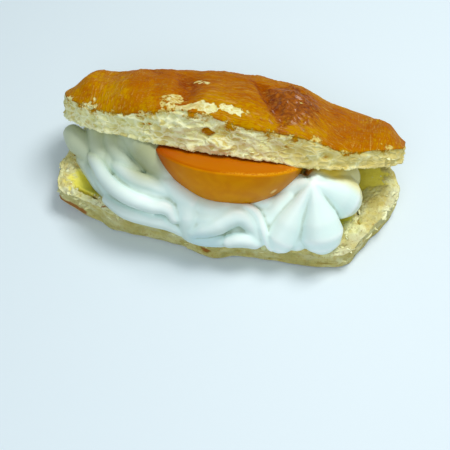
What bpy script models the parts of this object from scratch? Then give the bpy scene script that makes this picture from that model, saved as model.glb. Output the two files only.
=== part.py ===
# A puff pastry split in two, with whipped cream and a peach half between the halves.
# Metres, +X along the pastry, -Y towards the open side, +Z up, origin under the middle.

import math

import bmesh
import bpy
from mathutils import Euler, Vector, noise

for old in list(bpy.data.objects):
    bpy.data.objects.remove(old, do_unlink=True)

# driving dimensions
GAP = 0.0004               # free space left between pieces that touch
BASE_FLOOR = 0.0054        # thickness of the lower half under the cream
BASE_RIM = 0.0095          # height of its rim at the open side
BASE_LEFT_RISE = 0.0035    # how much higher the rim is at the left end
BASE_RIGHT_RISE = 0.0015   # and at the right end
BASE_BACK_DROP = 0.0010    # and how much lower along the back
BASE_FLAP_LIFT = 0.0040    # the torn corner at the left stands off the ground by this
BASE_LID_SPACE = 0.0016    # room between its back rim and the upper half
CRUST_LENGTH = 0.1415
CRUST_WIDTH = 0.0630
CRUST_END_PINCH = 0.0140   # the near long edge falls back by this much at the ends
CRUST_FAR_PINCH = 0.0205   # and the far one by this much
CRUST_WALL = 0.0115        # height of the cut side of the upper half
CRUST_WALL_FAR_DROP = 0.0020   # the cut side is lower by this much at the far side
CRUST_THICKNESS = 0.0220   # height of the upper half at the middle of the dome
CRUST_END_FALL = 0.0095    # the dome is lower by this much at both ends
CRUST_RIGHT_FALL = 0.0052  # and by this much more along its right half
CRUST_LEFT_RISE = 0.0026   # and higher by this much along its left half
CRUST_TILT = math.radians(-30.0)
CRUST_ROLL = math.radians(-0.6)
CRUST_YAW = math.radians(4.3)
CRUST_HINGE = Vector((0.0018, 0.0350, 0.0080))   # a point where its underside meets the lower half
CRUST_SPOT = (-0.0043, -0.0290)   # its middle, across and up the slope from the hinge
PEACH_SIZE = Vector((0.0305, 0.0272, 0.0250))  # half length, half width and depth
PEACH_TAPER = 1.25         # above 1 its sides run in straighter from the cut face
PEACH_SPOT = (-0.0016, -0.0475)   # its middle, across and up the slope from the hinge
TORN_DEPTH = 0.0012        # how far torn edges wander in and out
LEDGE_DEPTH = 0.0017       # how far the layers step in and out in a cut side
ROPE_LOBES = 7             # ridges that the star nozzle leaves on a rope
ROPE_GROOVE = 0.22         # depth of its grooves, as a part of the radius
ROPE_END = [(0.55, 0.80), (0.90, 0.40), (1.0, 0.10)]   # round end: how far out, and its radius
CREAM_VOXEL = 0.0012
CREAM_TRIANGLES = 4100

# the lower half seen from above, going round from the torn corner at the left
BASE_OUTLINE = [
    (-0.0642, -0.0300), (-0.0502, -0.0340), (-0.0362, -0.0370), (-0.0132, -0.0370),
    (0.0063, -0.0390), (0.0168, -0.0355), (0.0418, -0.0330), (0.0573, -0.0285),
    (0.0618, -0.0180), (0.0708, 0.0000), (0.0708, 0.0110), (0.0618, 0.0220),
    (0.0418, 0.0300), (0.0018, 0.0315), (-0.0382, 0.0300), (-0.0582, 0.0220),
    (-0.0657, 0.0020), (-0.0672, -0.0160),
]
BASE_CENTRE = (0.0018, -0.0040)

# where the cut side of the upper half is higher or lower: place along it, height, half width
CRUST_WALL_SWELLS = [(-0.012, 0.0040, 0.016), (-0.050, -0.0035, 0.016), (0.046, -0.0046, 0.014)]
# where its two tips fall: start and end of the fall along it, and height
CRUST_TIP_FALLS = [(0.054, 0.074, 0.0056), (-0.050, -0.072, 0.0024)]
# folds and humps across its dome: place along it, slant, height at the far side, what is
# added to that height at the near side, and half width
CRUST_FOLDS = [
    (-0.0195, 0.15, -0.0002, -0.0024, 0.0046), (0.0072, 0.50, -0.0003, -0.0028, 0.0034),
    (0.0260, 0.0, 0.0018, 0.0, 0.0090), (-0.0560, 0.0, 0.0020, 0.0, 0.0110),
]

# piped ropes of cream: turn of the ridges at the start and from end to end in radians,
# then points along the middle, each with the radius of the rope there
CREAM_ROPES = {
    "left_shell": (0.3, 0.5, [
        (-0.0530, -0.0080, 0.0175, 0.0075), (-0.0495, -0.0155, 0.0178, 0.0092),
        (-0.0435, -0.0228, 0.0172, 0.0110), (-0.0345, -0.0280, 0.0165, 0.0120),
        (-0.0222, -0.0305, 0.0155, 0.0122), (-0.0110, -0.0295, 0.0150, 0.0108),
    ]),
    "upper_left": (0.0, 0.5, [
        (-0.0595, -0.0105, 0.0195, 0.0058), (-0.0510, -0.0112, 0.0212, 0.0078),
        (-0.0430, -0.0105, 0.0230, 0.0090), (-0.0310, -0.0125, 0.0248, 0.0092),
        (-0.0180, -0.0185, 0.0242, 0.0085),
    ]),
    "middle_shell": (0.2, 1.2, [
        (-0.0100, -0.0295, 0.0150, 0.0085), (-0.0010, -0.0315, 0.0150, 0.0098),
        (0.0080, -0.0310, 0.0150, 0.0100), (0.0150, -0.0305, 0.0135, 0.0090),
        (0.0205, -0.0320, 0.0110, 0.0065), (0.0245, -0.0345, 0.0095, 0.0040),
    ]),
    "middle_back": (0.0, 0.0, [
        (0.0020, -0.0280, 0.0180, 0.0060), (0.0120, -0.0265, 0.0180, 0.0075),
        (0.0220, -0.0235, 0.0175, 0.0075), (0.0300, -0.0205, 0.0180, 0.0060),
    ]),
}
# the rosette at the right: round petals that run down from one peak
ROSETTE_PEAK = (0.0381, -0.0170, 0.0325)
ROSETTE_PETALS = [   # middle of each petal's round end, and its radius
    (0.0310, -0.0140, 0.0220, 0.0080), (0.0302, -0.0300, 0.0128, 0.0070),
    (0.0454, -0.0257, 0.0150, 0.0087), (0.0495, -0.0092, 0.0180, 0.0092),
    (0.0508, 0.0030, 0.0165, 0.0080), (0.0415, 0.0000, 0.0195, 0.0078),
]
CREAM_HEART = ((0.0018, 0.0040, 0.0130), (0.0520, 0.0190, 0.0085))   # middle, half sizes


def new_object(name, mesh, collection):
    thing = bpy.data.objects.new(name, mesh)
    collection.objects.link(thing)
    return thing


def new_collection(name):
    group = bpy.data.collections.new(name)
    bpy.context.scene.collection.children.link(group)
    return group


def new_material(name, colour, roughness):
    made = bpy.data.materials.new(name)
    made.use_nodes = True
    shader = made.node_tree.nodes["Principled BSDF"]
    shader.inputs["Base Color"].default_value = (*colour, 1.0)
    shader.inputs["Roughness"].default_value = roughness
    shader.inputs["Metallic"].default_value = 0.0
    return made


def smoothstep(low, high, value):
    t = min(max((value - low) / (high - low), 0.0), 1.0)
    return t * t * (3.0 - 2.0 * t)


def bump(value, middle, width):
    return math.exp(-((value - middle) / width) ** 2)


def wander(x, y, z, size):
    """Smooth noise between about -1 and 1, with lumps of the given size."""
    return noise.noise(Vector((x, y, z)) / size)


def closed_outline(points, steps):
    """Points spaced evenly along a smooth closed curve through the given ones."""
    count = len(points)
    dense = []
    for i in range(count):
        a, b, c, d = (Vector(points[(i + k) % count]) for k in (-1, 0, 1, 2))
        for j in range(16):
            t = j / 16
            dense.append(0.5 * (2 * b + (c - a) * t + (2 * a - 5 * b + 4 * c - d) * t * t
                                + (3 * b - a - 3 * c + d) * t ** 3))
    lengths = [0.0]
    for i, point in enumerate(dense):
        lengths.append(lengths[-1] + (dense[(i + 1) % len(dense)] - point).length)
    result, i = [], 0
    for k in range(steps):
        at = lengths[-1] * k / steps
        while lengths[i + 1] < at:
            i += 1
        share = (at - lengths[i]) / (lengths[i + 1] - lengths[i])
        result.append(dense[i].lerp(dense[(i + 1) % len(dense)], share))
    return result


def turned_disc(top_rings, wall_levels, under_rings, steps):
    """A unit disc, one high, turned from its profile: radius 0 to 1, height 1 to 0."""
    profile = [(r, 1.0) for r in top_rings]
    profile += [(1.0, z) for z in wall_levels]
    profile += [(r, 0.0) for r in under_rings]
    bm = bmesh.new()
    verts = [bm.verts.new((r, 0.0, z)) for r, z in profile]
    edges = [bm.edges.new(pair) for pair in zip(verts, verts[1:])]
    bmesh.ops.spin(bm, geom=verts + edges, cent=(0, 0, 0), axis=(0, 0, 1),
                   angle=2 * math.pi, steps=steps, use_merge=True)
    bmesh.ops.remove_doubles(bm, verts=bm.verts, dist=1e-5)
    return bm


def finish_mesh(bm, name):
    bmesh.ops.recalc_face_normals(bm, faces=bm.faces)
    mesh = bpy.data.meshes.new(name)
    bm.to_mesh(mesh)
    bm.free()
    mesh.shade_smooth()
    return mesh


def step_of(vert, steps):
    return round(math.atan2(vert.co.y, vert.co.x) / (2 * math.pi) * steps) % steps


def layer_ledge(level, along, layers):
    """Leaves of pastry in the cut side: in and out again as the level rises."""
    shift = 0.6 * wander(along, 3.1, 0.0, 0.011)
    return 0.5 - abs(math.sin(math.pi * (level * layers + shift)))


# the lower half: a shallow tray with a torn rim

def lid_height(x, y):
    """Height of the plane that the upper half's cut face lies in."""
    normal = Euler((CRUST_TILT, CRUST_ROLL, CRUST_YAW)).to_matrix() @ Vector((0, 0, 1))
    return CRUST_HINGE.z - (normal.x * (x - CRUST_HINGE.x) + normal.y * (y - CRUST_HINGE.y)) / normal.z


def base_top(x, y, reach):
    """Height of the tray: floor, then a rim that rises to the edge but stays under the lid."""
    rim = BASE_RIM + BASE_LEFT_RISE * smoothstep(0.030, -0.065, x)
    rim += BASE_RIGHT_RISE * smoothstep(0.045, 0.065, x)
    rim -= BASE_BACK_DROP * smoothstep(0.0, 0.030, y)
    rim += 0.0012 * wander(x, y, 0.5, 0.016)
    rim = min(rim, lid_height(x, y) - BASE_LID_SPACE)
    floor = BASE_FLOOR + 0.0006 * wander(x, y, 2.5, 0.012)
    return floor + (rim - floor) * smoothstep(0.62, 0.93, reach) - 0.0012 * smoothstep(0.94, 1.0, reach)


def base_bottom(x, y, reach):
    """Flat ground face, with a rounded edge and the lifted corner at the left."""
    corner = math.exp(-((x + 0.065) ** 2 + (y + 0.031) ** 2) / 0.010 ** 2)
    return 0.0009 * smoothstep(0.9, 1.0, reach) + BASE_FLAP_LIFT * corner * smoothstep(0.82, 1.0, reach)


def build_base(collection, steps=80):
    outline = closed_outline(BASE_OUTLINE, steps)
    first = round(math.atan2(outline[0].y - BASE_CENTRE[1], outline[0].x - BASE_CENTRE[0])
                  / (2 * math.pi) * steps)
    bm = turned_disc([0, 0.25, 0.5, 0.62, 0.72, 0.82, 0.9, 0.96, 1.0],
                     [0.86, 0.7, 0.54, 0.38, 0.22, 0.1], [1.0, 0.94, 0.86, 0.5, 0], steps)
    centre = Vector(BASE_CENTRE)
    for vert in bm.verts:
        reach = math.hypot(vert.co.x, vert.co.y)
        level = vert.co.z
        edge = outline[(step_of(vert, steps) - first) % steps]
        spot = centre.lerp(edge, reach)
        outward = (edge - centre).normalized()
        torn = TORN_DEPTH * wander(edge.x, edge.y, 7.0, 0.007) * smoothstep(0.8, 1.0, reach)
        ledge = LEDGE_DEPTH * layer_ledge(level, edge.x + edge.y, 3.0) if 0.0 < level < 1.0 else 0.0
        spot += outward * (torn + ledge)
        low = base_bottom(spot.x, spot.y, reach)
        high = max(base_top(spot.x, spot.y, reach), low + 0.0035)
        vert.co = (spot.x, spot.y, low + (high - low) * level)
    return new_object("base_pastry", finish_mesh(bm, "base_pastry"), collection)


# the upper half: a domed loaf on a flat cut face, in its own frame

def crust_outline(turn):
    """A long loaf seen from above: blunt ends, long edges that fall back towards them."""
    c, s = math.cos(turn), math.sin(turn)
    x = CRUST_LENGTH / 2 * math.copysign(abs(c) ** 0.5, c)
    pinch = CRUST_FAR_PINCH if s > 0 else CRUST_END_PINCH
    width = CRUST_WIDTH / 2 - pinch * (2 * x / CRUST_LENGTH) ** 2
    return Vector((x, width * math.copysign(abs(s) ** 0.5, s)))


def crust_wall(x, y):
    """Height of the cut side: highest left of the middle, low where the glaze runs down."""
    near = smoothstep(0.01, -0.01, y)
    swell = sum(height * bump(x, place, width) for place, height, width in CRUST_WALL_SWELLS)
    fall = sum(height * smoothstep(start, end, x) for start, end, height in CRUST_TIP_FALLS)
    return CRUST_WALL - fall + near * swell - (1.0 - near) * CRUST_WALL_FAR_DROP


def crust_folds(x, y):
    """Folds across the dome, which bend as they run over it."""
    near = smoothstep(0.012, -0.012, y)
    fold = sum((far_height + near_height * near) * bump(x + slant * y, place, width)
               for place, slant, far_height, near_height, width in CRUST_FOLDS)
    return fold + 0.0010 * wander(x, y * 0.5, 4.0, 0.010)


def crust_top(x, y, reach):
    wall = crust_wall(x, y)
    along = min(abs(2 * x / CRUST_LENGTH), 1.0)
    crown = CRUST_THICKNESS - CRUST_END_FALL * along ** 2.2
    crown -= CRUST_RIGHT_FALL * smoothstep(0.005, 0.045, x)
    crown += CRUST_LEFT_RISE * smoothstep(-0.020, -0.045, x)
    dome = max(1.0 - reach ** 2.6, 0.0) ** 0.62
    return wall + (crown - wall) * dome + crust_folds(x, y) * smoothstep(1.0, 0.82, reach)


def build_crust(collection, steps=96):
    outline = closed_outline([crust_outline(2 * math.pi * i / 48) for i in range(48)], steps)
    bm = turned_disc([0, 0.1, 0.21, 0.32, 0.43, 0.54, 0.65, 0.75, 0.84, 0.91, 0.96, 1.0],
                     [0.84, 0.68, 0.52, 0.36, 0.2, 0.08], [1.0, 0.93, 0.6, 0], steps)
    for vert in bm.verts:
        reach = math.hypot(vert.co.x, vert.co.y)
        level = vert.co.z
        edge = outline[step_of(vert, steps)]
        spot = edge * reach
        outward = edge.normalized()
        torn = TORN_DEPTH * wander(edge.x, edge.y, 9.0, 0.008) * smoothstep(0.8, 1.0, reach)
        ledge = LEDGE_DEPTH * layer_ledge(level, edge.x + edge.y, 3.5) if 0.0 < level < 1.0 else 0.0
        shoulder = 0.0014 * smoothstep(0.7, 1.0, level) * smoothstep(0.9, 1.0, reach)
        spot += outward * (torn + ledge - shoulder)
        low = 0.0004 * (1.0 + wander(spot.x, spot.y, 1.0, 0.010))
        low -= 0.0009 * smoothstep(0.036, 0.050, abs(spot.x)) * smoothstep(0.9, 1.0, reach)
        high = crust_top(spot.x, spot.y, reach)
        vert.co = (spot.x, spot.y, low + (high - low) * level)
    crust = new_object("top_pastry", finish_mesh(bm, "top_pastry"), collection)
    crust.rotation_euler = (CRUST_TILT, CRUST_ROLL, CRUST_YAW)
    slope = crust.rotation_euler.to_matrix()
    crust.location = CRUST_HINGE + slope @ Vector((*CRUST_SPOT, 0.0))
    return crust


# the peach half: round side down in the cream, flat side against the upper half

def build_peach(collection):
    bm = bmesh.new()
    bmesh.ops.create_uvsphere(bm, u_segments=36, v_segments=24, radius=1.0)
    cut = bmesh.ops.bisect_plane(bm, geom=bm.verts[:] + bm.edges[:] + bm.faces[:], dist=1e-5,
                                 plane_co=(0, 0, 0), plane_no=(0, 0, 1), clear_outer=True)
    rim = [part for part in cut["geom_cut"] if isinstance(part, bmesh.types.BMEdge)]
    bmesh.ops.contextual_create(bm, geom=rim)
    for vert in bm.verts:
        size = PEACH_SIZE
        narrow = max(math.hypot(vert.co.x, vert.co.y), 1e-6) ** (PEACH_TAPER - 1.0)
        deep = max(-vert.co.z, 0.0) ** PEACH_TAPER
        vert.co = (vert.co.x * size.x * narrow, vert.co.y * size.y * narrow, -deep * size.z)
    peach = new_object("peach_half", finish_mesh(bm, "peach_half"), collection)
    peach.rotation_euler = (CRUST_TILT, CRUST_ROLL, CRUST_YAW)
    slope = peach.rotation_euler.to_matrix()
    peach.location = CRUST_HINGE + slope @ Vector((*PEACH_SPOT, -0.0006))
    return peach


# the cream: star ropes, a rosette and the heart between them, run together

def star_profile(name, lobes, groove, collection):
    """Outline of a star nozzle, radius 1: round ridges with sharp grooves."""
    data = bpy.data.curves.new(name, "CURVE")
    data.dimensions = "2D"
    spline = data.splines.new("POLY")
    count = max(lobes * 6, 24)
    spline.points.add(count - 1)
    for i, point in enumerate(spline.points):
        turn = 2 * math.pi * i / count
        radius = 1.0 - groove + groove * abs(math.sin(lobes * turn / 2))
        point.co = (radius * math.cos(turn), radius * math.sin(turn), 0, 1)
    spline.use_cyclic_u = True
    return new_object(name, data, collection)


def mesh_of_curve(curve, name, collection):
    mesh = bpy.data.meshes.new_from_object(curve.evaluated_get(bpy.context.evaluated_depsgraph_get()))
    bm = bmesh.new()
    bm.from_mesh(mesh)
    bmesh.ops.remove_doubles(bm, verts=bm.verts, dist=1e-6)
    bmesh.ops.recalc_face_normals(bm, faces=bm.faces)
    bm.to_mesh(mesh)
    bm.free()
    made = new_object(name, mesh, collection)
    made.matrix_world = curve.matrix_world
    bpy.data.objects.remove(curve, do_unlink=True)
    return made


def build_rope(name, points, profile, turn, collection):
    """A rope along the points, swept from the star profile, with round closed ends."""
    data = bpy.data.curves.new(name, "CURVE")
    data.dimensions = "3D"
    data.twist_mode = "Z_UP"
    data.bevel_mode = "OBJECT"
    data.bevel_object = profile
    data.use_fill_caps = True
    data.resolution_u = 8
    spline = data.splines.new("BEZIER")
    first, second = Vector(points[0][:3]), Vector(points[1][:3])
    last, before = Vector(points[-1][:3]), Vector(points[-2][:3])
    tip, tail = (first - second).normalized(), (last - before).normalized()
    head_size, tail_size = points[0][3], points[-1][3]
    path = [(*(first + tip * head_size * out), head_size * size) for out, size in reversed(ROPE_END)]
    path += points
    path += [(*(last + tail * tail_size * out), tail_size * size) for out, size in ROPE_END]
    spline.bezier_points.add(len(path) - 1)
    for i, (point, (x, y, z, radius)) in enumerate(zip(spline.bezier_points, path)):
        point.co = (x, y, z)
        point.radius = radius
        point.tilt = turn[0] + turn[1] * i / (len(path) - 1)
        point.handle_left_type = point.handle_right_type = "AUTO"
    rope = new_object(name, data, collection)
    bpy.context.view_layer.update()
    return mesh_of_curve(rope, name, collection)


def build_cream(collection, cutters, blades):
    star = star_profile("star", ROPE_LOBES, ROPE_GROOVE, cutters)
    ring = star_profile("ring", 1, 0.0, cutters)
    parts = [build_rope(name, points, star, (turn, twist), cutters)
             for name, (turn, twist, points) in CREAM_ROPES.items()]
    peak = Vector(ROSETTE_PEAK)
    for i, (x, y, z, radius) in enumerate(ROSETTE_PETALS):
        half_way = peak.lerp(Vector((x, y, z)), 0.5)
        path = [(*peak, 0.0015), (*half_way, radius * 0.60), (x, y, z, radius)]
        parts.append(build_rope(f"petal_{i}", path, ring, (0.0, 0.0), cutters))
    (middle, half) = CREAM_HEART
    bm = bmesh.new()
    bmesh.ops.create_uvsphere(bm, u_segments=48, v_segments=24, radius=1.0)
    bmesh.ops.scale(bm, vec=half, verts=bm.verts)
    bmesh.ops.translate(bm, vec=middle, verts=bm.verts)
    parts.append(new_object("heart", finish_mesh(bm, "heart"), cutters))

    bm = bmesh.new()
    for part in parts:
        part.data.transform(part.matrix_world)
        bm.from_mesh(part.data)
        bpy.data.objects.remove(part, do_unlink=True)
    cream = new_object("whipped_cream", finish_mesh(bm, "whipped_cream"), collection)
    fuse = cream.modifiers.new("fuse", "REMESH")
    fuse.mode = "VOXEL"
    fuse.voxel_size = CREAM_VOXEL
    soften = cream.modifiers.new("soften", "SMOOTH")
    soften.factor = 0.5
    soften.iterations = 2
    apply_modifiers(cream)
    thin = cream.modifiers.new("thin", "DECIMATE")
    thin.ratio = CREAM_TRIANGLES / sum(len(face.vertices) - 2 for face in cream.data.polygons)
    apply_modifiers(cream)
    for blade in blades:
        cut = cream.modifiers.new("cut_by_" + blade.name, "BOOLEAN")
        cut.operation = "DIFFERENCE"
        cut.object = blade
    apply_modifiers(cream)
    for old in (star, ring):
        bpy.data.objects.remove(old, do_unlink=True)
    keep_largest_body(cream.data)
    return cream


def apply_modifiers(thing):
    bpy.context.view_layer.update()
    mesh = bpy.data.meshes.new_from_object(thing.evaluated_get(bpy.context.evaluated_depsgraph_get()))
    thing.modifiers.clear()
    thing.data = mesh


def keep_largest_body(mesh):
    """Drop scraps that a cut has left loose."""
    bm = bmesh.new()
    bm.from_mesh(mesh)
    bmesh.ops.remove_doubles(bm, verts=bm.verts, dist=2e-5)
    left, bodies = set(bm.verts), []
    while left:
        body, edge_of = set(), [left.pop()]
        while edge_of:
            vert = edge_of.pop()
            body.add(vert)
            for edge in vert.link_edges:
                other = edge.other_vert(vert)
                if other in left:
                    left.discard(other)
                    edge_of.append(other)
        bodies.append(body)
    bodies.sort(key=len, reverse=True)
    bmesh.ops.delete(bm, geom=[vert for body in bodies[1:] for vert in body], context="VERTS")
    bm.to_mesh(mesh)
    bm.free()


def blade_from(thing, cutters):
    """A copy that is thicker by the gap all over, to cut the cream with."""
    blade = new_object(thing.name + "_blade", thing.data, cutters)
    blade.matrix_world = thing.matrix_world
    swell = blade.modifiers.new("swell", "DISPLACE")
    swell.strength = GAP
    swell.mid_level = 0.0
    return blade


def main():
    pastry = new_collection("filled_puff_pastry")
    cutters = new_collection("cutters")
    base = build_base(pastry)
    crust = build_crust(pastry)
    peach = build_peach(pastry)
    bpy.context.view_layer.update()
    blades = [blade_from(thing, cutters) for thing in (base, crust, peach)]
    bpy.context.view_layer.update()
    cream = build_cream(pastry, cutters, blades)
    for blade in blades:
        bpy.data.objects.remove(blade, do_unlink=True)
    looks = {
        base: ("baked_crumb", (0.46, 0.42, 0.20), 0.75),
        crust: ("browned_crust", (0.40, 0.14, 0.02), 0.35),
        peach: ("peach", (0.60, 0.16, 0.0), 0.2),
        cream: ("cream", (0.68, 0.82, 0.80), 0.4),
    }
    for thing, look in looks.items():
        thing.data.materials.clear()
        thing.data.materials.append(new_material(*look))


main()
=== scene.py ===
import math

import bmesh
import bpy
from mathutils import Euler, Matrix, Vector, noise


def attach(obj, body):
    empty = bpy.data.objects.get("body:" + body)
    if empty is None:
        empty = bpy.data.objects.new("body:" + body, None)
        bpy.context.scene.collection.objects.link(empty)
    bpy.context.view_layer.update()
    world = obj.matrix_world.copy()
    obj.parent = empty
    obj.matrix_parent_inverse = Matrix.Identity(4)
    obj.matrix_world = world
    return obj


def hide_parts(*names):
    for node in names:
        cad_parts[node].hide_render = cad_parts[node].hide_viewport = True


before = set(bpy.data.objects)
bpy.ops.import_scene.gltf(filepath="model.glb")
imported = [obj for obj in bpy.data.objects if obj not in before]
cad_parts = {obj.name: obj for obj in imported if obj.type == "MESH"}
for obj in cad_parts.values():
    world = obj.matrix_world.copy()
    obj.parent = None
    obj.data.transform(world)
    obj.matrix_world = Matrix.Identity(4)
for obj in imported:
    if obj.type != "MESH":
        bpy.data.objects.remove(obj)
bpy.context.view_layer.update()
mm = 0.001


# numbers and noise

def smoothStep(low, high, value):
    t = min(max((value - low) / (high - low), 0.0), 1.0)
    return t * t * (3 - 2 * t)


def inMm(lengths, *rows):
    # rows of numbers, with the first so many of each given in mm
    return [tuple(part * mm for part in row[:lengths]) + row[lengths:] for row in rows]


def bump(value, middle, width):
    return math.exp(-((value - middle) / width) ** 2)


def wander(x, y, z, size):
    # smooth noise from about -1 to 1, with lumps of this size
    return noise.noise(Vector((x, y, z)) / size)


def crinkle(x, y, z, size):
    # sharp creases between round lumps, 0 in the crease
    return abs(wander(x, y, z, size)) + 0.5 * abs(wander(x, y, z + 7 * size, size / 2))


def spotShare(x, y, spots, fray):
    # up to 1 inside any of the ragged oval spots (x, y, half length, half width, share), 0 outside
    found = 0.0
    for spotX, spotY, halfLength, halfWidth, share in spots:
        far = math.hypot((x - spotX) / halfLength, (y - spotY) / halfWidth)
        if far < 2:
            far += fray * (wander(x, y, 2.2, 2.6 * mm) + 0.6 * wander(x, y, 7.2, 1.0 * mm))
            found = max(found, share * smoothStep(1.25, 0.75, far))
    return found


# node trees: sums on sockets are written as plain sums

def tint(red, green, blue):
    # a colour as it looks on screen, 0 to 255, as the linear one that shaders take
    parts = [part / 255 for part in (red, green, blue)]
    return tuple(((p + 0.055) / 1.055) ** 2.4 if p > 0.04045 else p / 12.92 for p in parts) + (1.0,)


class Wire:
    # one output socket, which can stand in a sum
    def __init__(self, graph, socket):
        self.graph = graph
        self.socket = socket

    def __add__(self, other):
        return self.graph.maths("ADD", self, other)

    def __sub__(self, other):
        return self.graph.maths("SUBTRACT", self, other)

    def __rsub__(self, other):
        return self.graph.maths("SUBTRACT", other, self)

    def __mul__(self, other):
        return self.graph.maths("MULTIPLY", self, other)

    def __truediv__(self, other):
        return self.graph.maths("DIVIDE", self, other)

    __radd__ = __add__
    __rmul__ = __mul__

    def beside(self, output):
        # another output of the same node
        return Wire(self.graph, self.socket.node.outputs[output])

    def step(self, low, high):
        # 0 below low, 1 above high, smooth between them
        return self.graph.node("ShaderNodeMapRange", {"interpolation_type": "SMOOTHSTEP"},
                               {"Value": self, "From Min": low, "From Max": high})


class Graph:
    # a node tree: each node is made with its settings and inputs, and gives one of its outputs
    def node(self, kind, settings=None, sockets=None, output=0):
        made = self.tree.nodes.new(kind)
        for name, value in (settings or {}).items():
            setattr(made, name, value)
        for name, value in (sockets or {}).items():
            self.feed(made.inputs[name], value)
        return Wire(self, made.outputs[output]) if made.outputs else None

    def feed(self, socket, value):
        if isinstance(value, Wire):
            self.tree.links.new(value.socket, socket)
        else:
            socket.default_value = value

    def maths(self, operation, *values):
        return self.node("ShaderNodeMath", {"operation": operation}, dict(enumerate(values)))

    def vectors(self, operation, sockets, output=0):
        return self.node("ShaderNodeVectorMath", {"operation": operation}, sockets, output)

    def axis(self, vector, letter):
        return self.node("ShaderNodeSeparateXYZ", None, {0: vector}, letter)


class Paint(Graph):
    # one material, with its principled shader
    def __init__(self, name):
        self.material = bpy.data.materials.new(name)
        self.material.use_nodes = True
        self.tree = self.material.node_tree
        self.shader = self.tree.nodes["Principled BSDF"]

    def surface(self, **values):
        for name, value in values.items():
            self.feed(self.shader.inputs[name.replace("_", " ")], value)
        return self.material

    def place(self):
        return self.node("ShaderNodeTexCoord", output="Object")

    def attribute(self, name, output="Fac"):
        return self.node("ShaderNodeAttribute", {"attribute_name": name}, output=output)

    def distance(self, place, spot):
        return self.vectors("DISTANCE", {0: place, 1: spot}, "Value")

    def stretched(self, place, scale, turn=0.0):
        return self.node("ShaderNodeMapping", None,
                         {"Vector": place, "Rotation": (0, 0, turn), "Scale": scale})

    def noise(self, place, scale, detail=2.0, distortion=0.0, output=0):
        return self.node("ShaderNodeTexNoise", None, {
            "Vector": place, "Scale": scale, "Detail": detail, "Distortion": distortion}, output)

    def mix(self, share, *colours):
        # each colour is a socket, or red, green and blue as they look on screen
        first, second = (colour if isinstance(colour, Wire) else tint(*colour) for colour in colours)
        return self.node("ShaderNodeMix", {"data_type": "RGBA", "clamp_factor": True},
                         {0: share, 6: first, 7: second}, 2)

    def over(self, colour, *layers):
        # a colour with others laid over it, each with its share
        for share, layer in layers:
            colour = self.mix(share, colour, layer)
        return colour

    def relief(self, height, strength, depth):
        return self.node("ShaderNodeBump", None, {"Height": height, "Strength": strength, "Distance": depth})


class Shaping(Graph):
    # a geometry tree with named inputs, the material among them
    def __init__(self, name, inputs):
        self.tree = bpy.data.node_groups.new(name, "GeometryNodeTree")
        for label, kind in {"Geometry": "Geometry", **inputs, "Material": "Material"}.items():
            self.tree.interface.new_socket(label, in_out="INPUT", socket_type="NodeSocket" + kind)
        self.tree.interface.new_socket("Geometry", in_out="OUTPUT", socket_type="NodeSocketGeometry")
        entry = self.tree.nodes.new("NodeGroupInput")
        self.given = {socket.name: Wire(self, socket) for socket in entry.outputs if socket.name}

    def finish(self, shape):
        # real geometry with its material is what the tree gives
        real = self.node("GeometryNodeRealizeInstances", None, {"Geometry": shape})
        coloured = self.node("GeometryNodeSetMaterial", None,
                             {"Geometry": real, "Material": self.given["Material"]})
        self.node("NodeGroupOutput", None, {0: coloured})
        return self.tree


# meshes

def newObject(name, data):
    thing = bpy.data.objects.new(name, data)
    bpy.context.scene.collection.objects.link(thing)
    return thing


def objectFrom(bm, name):
    bmesh.ops.recalc_face_normals(bm, faces=bm.faces)
    mesh = bpy.data.meshes.new(name)
    bm.to_mesh(mesh)
    bm.free()
    mesh.shade_smooth()
    return newObject(name, mesh)


def evaluated(thing):
    bpy.context.view_layer.update()
    return bpy.data.meshes.new_from_object(thing.evaluated_get(bpy.context.evaluated_depsgraph_get()))


def bakeDown(thing):
    # the object's evaluated mesh takes the place of its modifiers
    mesh = evaluated(thing)
    thing.modifiers.clear()
    thing.data = mesh
    mesh.shade_smooth()


def shapeWith(thing, tree, values):
    # adds a geometry tree to an object, with its inputs set by socket identifier
    modifier = thing.modifiers.new(tree.name, "NODES")
    modifier.node_group = tree
    for item in tree.interface.items_tree:
        if item.item_type == "SOCKET" and item.in_out == "INPUT" and item.name in values:
            modifier[item.identifier] = values[item.name]


def standFor(thing, node, material):
    # says what a finished piece is made of, and which node it replaces, if any
    thing.data.materials.clear()
    thing.data.materials.append(material)
    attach(thing, "root")
    if node:
        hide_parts(node)
    print(thing.name, len(thing.data.polygons), "faces")


def closedOutline(points, steps):
    # points spaced evenly along a smooth closed curve through the given ones
    dense = []
    for i in range(len(points)):
        a, b, c, d = (Vector(points[(i + k) % len(points)]) for k in (-1, 0, 1, 2))
        for j in range(16):
            t = j / 16
            dense.append(0.5 * (2 * b + (c - a) * t + (2 * a - 5 * b + 4 * c - d) * t * t
                                + (3 * b - a - 3 * c + d) * t ** 3))
    lengths = [0.0]
    for i, point in enumerate(dense):
        lengths.append(lengths[-1] + (dense[(i + 1) % len(dense)] - point).length)
    found, i = [], 0
    for k in range(steps):
        at = lengths[-1] * k / steps
        while lengths[i + 1] < at:
            i += 1
        share = (at - lengths[i]) / (lengths[i + 1] - lengths[i])
        found.append(dense[i].lerp(dense[(i + 1) % len(dense)], share))
    return found, lengths[-1]


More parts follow.
